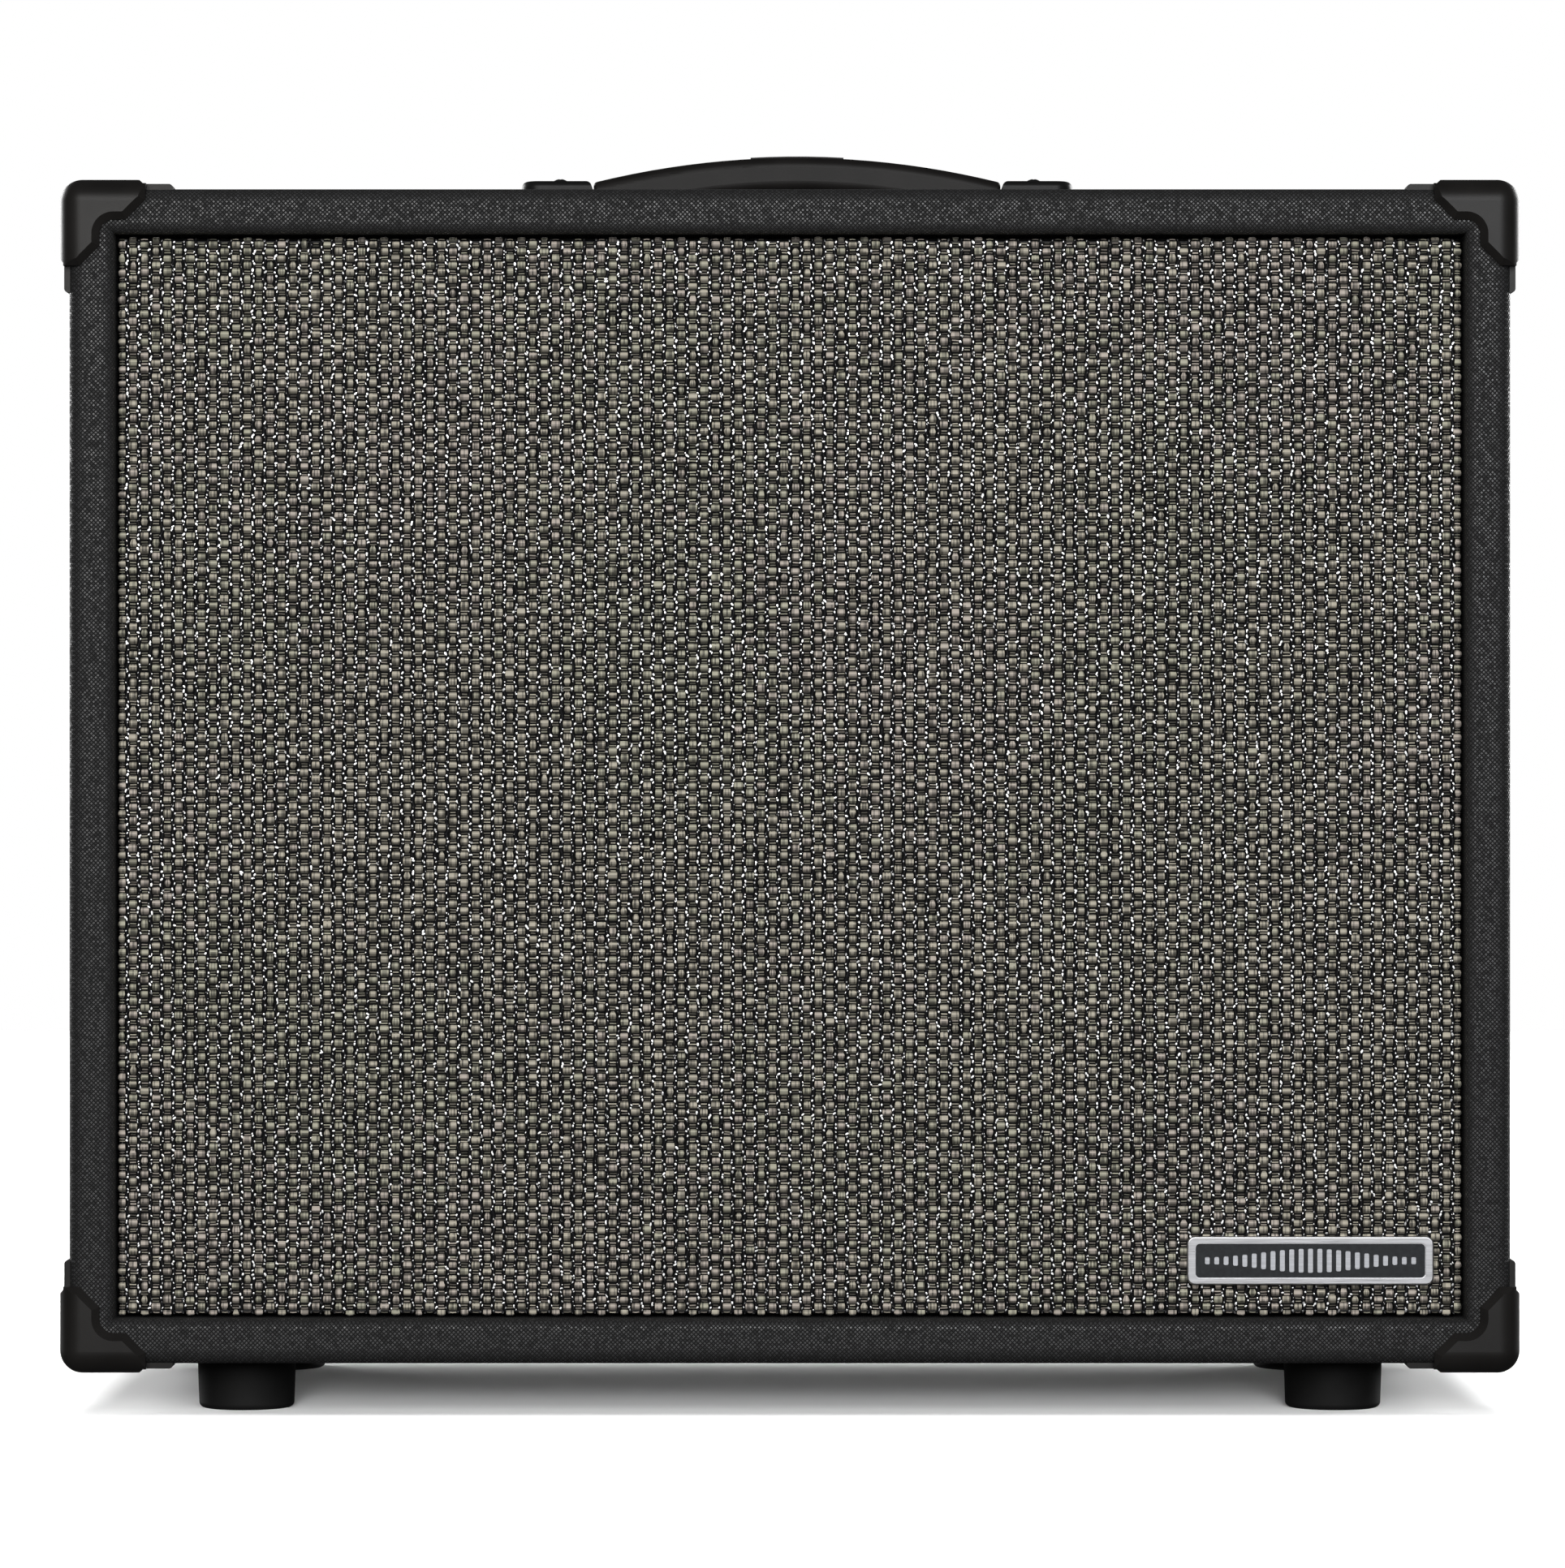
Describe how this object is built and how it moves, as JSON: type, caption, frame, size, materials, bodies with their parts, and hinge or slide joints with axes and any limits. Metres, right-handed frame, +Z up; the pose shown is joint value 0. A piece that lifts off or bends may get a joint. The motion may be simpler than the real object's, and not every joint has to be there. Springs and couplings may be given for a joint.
{
  "type": "guitar amplifier cabinet",
  "caption": "Powered guitar cabinet with a woven grille in a vinyl-covered case, corner protectors, strap handle, rubber feet and a recessed rear control panel.",
  "frame": {"origin": "on the floor under the middle of the case, at the bottom of the feet", "axes": "+X to the right seen from the grille side, +Y from the grille to the back, +Z up"},
  "size_m": [0.556, 0.277, 0.491],
  "materials": {
    "plywood": "raw birch plywood, finger jointed",
    "vinyl_covering": "black embossed vinyl, fine diagonal cross-hatch",
    "pine_battens": "planed softwood",
    "black_board": "plywood painted matte black",
    "grille_weave": "woven grille cloth, beige and black with a metallic thread",
    "badge_metal": "brushed rim with a black field",
    "corner_moulding": "moulded black, semi-matte",
    "black_screw": "blackened steel",
    "rubber_foot": "moulded matte rubber",
    "grip_rubber": "moulded grip, satin",
    "cap_moulding": "moulded black, satin",
    "bright_screw": "plated steel",
    "panel_paint": "fine black powder coat",
    "zinc_steel": "zinc plated sheet",
    "circuit_board": "green board with black parts",
    "fin_aluminium": "black anodised extrusion",
    "pot_metal": "plated steel",
    "knob_plastic": "moulded black with a white pointer",
    "socket_plastic": "moulded black nylon",
    "latch_plastic": "moulded grey",
    "lamp_lens": "green lens",
    "rocker_plastic": "moulded black",
    "button_plastic": "moulded grey",
    "basket_paint": "black painted cast frame",
    "ferrite": "steel plates and ferrite ring",
    "paper_cone": "doped paper pulp",
    "surround_cloth": "treated cloth",
    "spider_cloth": "resin dipped cloth",
    "coil_copper": "copper on a formed tube",
    "driver_metal": "black painted housing",
    "lead_rubber": "insulated stranded wire",
    "port_steel": "plated shell"
  },
  "bodies": {
    "cabinet": {"top_board": "plywood", "bottom_board": "plywood", "left_side_board": "plywood", "right_side_board": "plywood", "covering": "vinyl_covering", "battens": "pine_battens", "baffle_board": "black_board", "grille_frame": "black_board", "grille_cloth": "grille_weave", "badge_plate": "badge_metal", "corner_screws": "black_screw", "foot_screws": "bright_screw", "handle_cap_left": "cap_moulding", "handle_cap_right": "cap_moulding", "handle_screws": "bright_screw", "back_panel": "black_board", "vent_grille": "panel_paint", "back_screws": "black_screw", "control_plate": "panel_paint", "plate_screws": "black_screw", "amp_chassis": "zinc_steel", "main_board": "circuit_board", "power_board": "circuit_board", "heatsink": "fin_aluminium", "potentiometers": "pot_metal", "combo_jack": "socket_plastic", "line_output": "socket_plastic", "data_port": "port_steel", "status_lamp": "lamp_lens", "mains_inlet": "socket_plastic", "speaker_basket": "basket_paint", "speaker_motor": "ferrite", "horn_driver": "driver_metal", "speaker_surround": "surround_cloth", "speaker_spider": "spider_cloth", "speaker_screws": "black_screw", "speaker_leads": "lead_rubber", "foot_front_left": "rubber_foot", "corner_front_top_left": "corner_moulding", "corner_front_bottom_left": "corner_moulding", "foot_front_right": "rubber_foot", "corner_front_top_right": "corner_moulding", "corner_front_bottom_right": "corner_moulding", "foot_back_left": "rubber_foot", "corner_back_top_left": "corner_moulding", "corner_back_bottom_left": "corner_moulding", "foot_back_right": "rubber_foot", "corner_back_top_right": "corner_moulding", "corner_back_bottom_right": "corner_moulding"},
    "handle": {"handle_strap": "grip_rubber"},
    "volume": {"volume_knob": "knob_plastic"},
    "low_cut": {"low_cut_knob": "knob_plastic"},
    "high_cut": {"high_cut_knob": "knob_plastic"},
    "voicing": {"voicing_knob": "knob_plastic"},
    "rocker": {"power_rocker": "rocker_plastic"},
    "ground_switch": {"ground_button": "button_plastic"},
    "latch": {"combo_latch": "latch_plastic"},
    "cone": {"speaker_cone": "paper_cone", "voice_coil": "coil_copper"}
  },
  "joints": [
    {"name": "handle_lift", "type": "slide", "parent": "cabinet", "child": "handle", "axis": [0, 0, 1], "range_m": [0, 0.005]},
    {"name": "volume_turn", "type": "hinge", "parent": "cabinet", "child": "volume", "pos_m": [0.15, 0.122, 0.404], "axis": [0, -1, 0], "range_deg": [-150, 150]},
    {"name": "low_cut_turn", "type": "hinge", "parent": "cabinet", "child": "low_cut", "pos_m": [0.104, 0.122, 0.404], "axis": [0, -1, 0], "range_deg": [-150, 150]},
    {"name": "high_cut_turn", "type": "hinge", "parent": "cabinet", "child": "high_cut", "pos_m": [0.058, 0.122, 0.404], "axis": [0, -1, 0], "range_deg": [-150, 150]},
    {"name": "voicing_turn", "type": "hinge", "parent": "cabinet", "child": "voicing", "pos_m": [0.006, 0.122, 0.404], "axis": [0, -1, 0], "range_deg": [-90, 90]},
    {"name": "power_rock", "type": "hinge", "parent": "cabinet", "child": "rocker", "pos_m": [-0.164, 0.1104, 0.393], "axis": [-1, 0, 0], "range_deg": [0, 18]},
    {"name": "ground_press", "type": "slide", "parent": "cabinet", "child": "ground_switch", "axis": [0, -1, 0], "range_m": [0, 0.0025], "stiffness_N_per_m": 800},
    {"name": "latch_press", "type": "slide", "parent": "cabinet", "child": "latch", "axis": [0, -1, 0], "range_m": [0, 0.0015], "stiffness_N_per_m": 1000},
    {"name": "cone_travel", "type": "slide", "parent": "cabinet", "child": "cone", "axis": [0, -1, 0], "range_m": [-0.004, 0.004], "stiffness_N_per_m": 4000, "deforming": ["speaker_surround", "speaker_spider"]}
  ]
}
